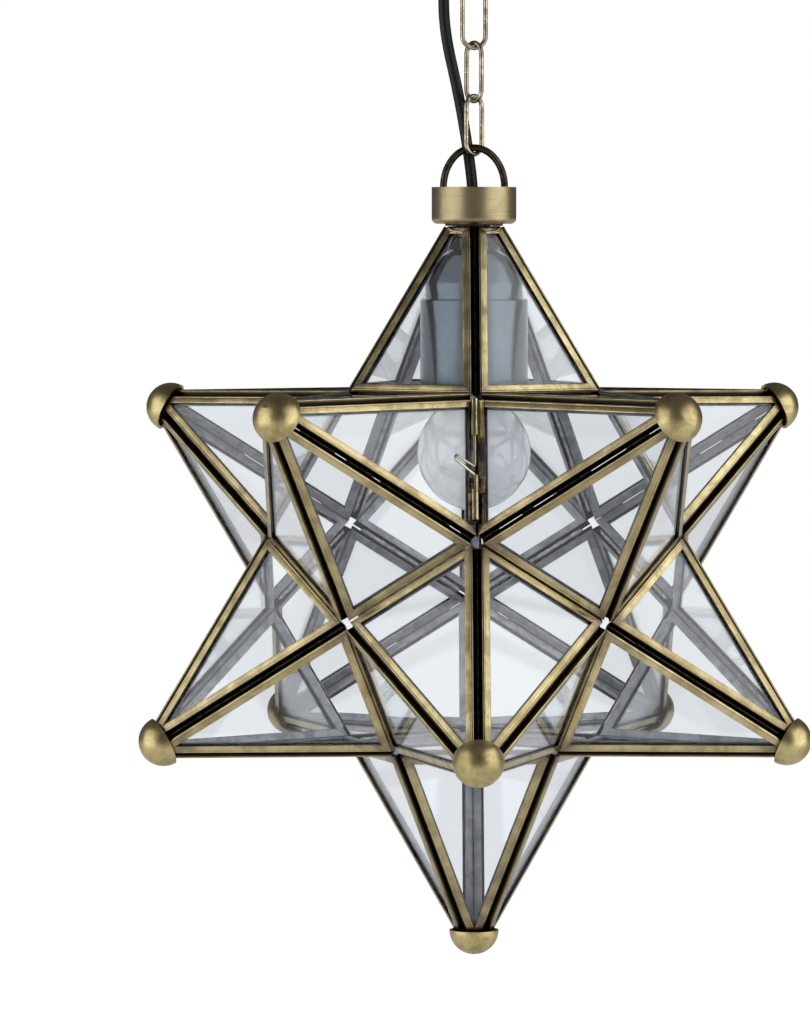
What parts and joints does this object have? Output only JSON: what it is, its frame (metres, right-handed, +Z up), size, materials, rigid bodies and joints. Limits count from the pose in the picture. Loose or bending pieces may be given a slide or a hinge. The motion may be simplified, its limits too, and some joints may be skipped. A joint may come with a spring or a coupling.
{
  "type": "moroccan pendant light",
  "caption": "Star lantern of clear glass panes in brass frames with ball tips, hung by a chain and a black flex from a round ceiling rose; one spike opens.",
  "frame": {"origin": "middle of the ceiling rose's seat, on the ceiling", "axes": "+Z up into the ceiling, -Y to the front, towards the viewer of the picture, +X to its right"},
  "size_m": [0.2538, 0.2658, 0.4275],
  "materials": {
    "came_brass": "aged, soldered",
    "dome_brass": "antique satin",
    "cup_brass": "brushed, aged",
    "fitting_brass": "aged",
    "wire_brass": "aged",
    "chain_brass": "aged",
    "loop_bronze": "dark bronze",
    "pane_glass": "clear",
    "bulb_glass": "opal",
    "holder_nickel": "black nickel, polished",
    "porcelain": "glazed",
    "zinc_steel": "zinc plated",
    "cap_nickel": "nickel plated",
    "bush_black": "matt black",
    "cord_black": "satin black"
  },
  "bodies": {
    "ceiling_rose": {"ceiling_bracket": "zinc_steel", "ceiling_rose": "cup_brass", "rose_studs": "zinc_steel", "cap_nuts": "cup_brass", "chain_hook": "chain_brass", "hook_nut": "zinc_steel", "cord_outlet": "bush_black", "cord_clamp": "bush_black", "terminal_block": "porcelain", "terminal_screws": "fitting_brass"},
    "chain": {"chain_link_1": "chain_brass", "chain_link_2": "chain_brass", "chain_link_3": "chain_brass", "chain_link_4": "chain_brass", "supply_cord": "cord_black"},
    "lantern": {"frames_top": "came_brass", "frames_upper_1": "came_brass", "frames_upper_2": "came_brass", "frames_upper_3": "came_brass", "frames_upper_4": "came_brass", "frames_lower_1": "came_brass", "frames_lower_2": "came_brass", "frames_lower_3": "came_brass", "frames_lower_4": "came_brass", "frames_lower_5": "came_brass", "frames_bottom": "came_brass", "glass_top": "pane_glass", "glass_upper": "pane_glass", "glass_lower": "pane_glass", "glass_bottom": "pane_glass", "tip_domes_upper": "dome_brass", "tip_domes_lower": "dome_brass", "tip_dome_bottom": "dome_brass", "neck_plate": "cup_brass", "top_cup": "cup_brass", "loop_plate": "loop_bronze", "hanging_loop": "loop_bronze", "threaded_tube": "fitting_brass", "tube_nuts": "fitting_brass", "cord_bush": "bush_black", "holder_cap": "holder_nickel", "holder_skirt": "holder_nickel", "holder_core": "porcelain", "screw_shell": "fitting_brass", "centre_contact": "fitting_brass", "hinge_fixed_knuckles": "fitting_brass", "latch_keeper": "fitting_brass"},
    "door": {"door_frames": "came_brass", "door_glass": "pane_glass", "door_tip_dome": "dome_brass", "hinge_door_knuckle": "fitting_brass", "hinge_pin": "wire_brass", "latch_guides": "fitting_brass"},
    "latch_bolt": {"latch_bolt": "wire_brass"},
    "bulb": {"bulb_glass": "bulb_glass", "bulb_cap": "cap_nickel", "bulb_contact": "fitting_brass", "bulb_stem": "bulb_glass", "bulb_filament": "cap_nickel"}
  },
  "joints": [
    {"name": "chain_swing", "type": "hinge", "parent": "ceiling_rose", "child": "chain", "pos_m": [0, 0, -0.04064], "axis": [1, 0, 0], "range_deg": [-12, 12], "deforming": ["supply_cord"]},
    {"name": "lantern_swing", "type": "hinge", "parent": "chain", "child": "lantern", "pos_m": [0, 0, -0.12074], "axis": [0.6691, 0.7431, 0], "range_deg": [-12, 12], "deforming": ["supply_cord"]},
    {"name": "door_hinge", "type": "hinge", "parent": "lantern", "child": "door", "pos_m": [0.05087, -0.01653, -0.20924], "axis": [-0.4863, 0.158, 0.8594], "range_deg": [0, 100]},
    {"name": "latch_slide", "type": "slide", "parent": "door", "child": "latch_bolt", "axis": [0, 0.5113, 0.8594], "range_m": [-0.0055, 0.004]},
    {"name": "bulb_turn", "type": "hinge", "parent": "lantern", "child": "bulb", "pos_m": [0, 0, -0.18999], "axis": [0, 0, 1], "range_deg": [0, 900]}
  ]
}
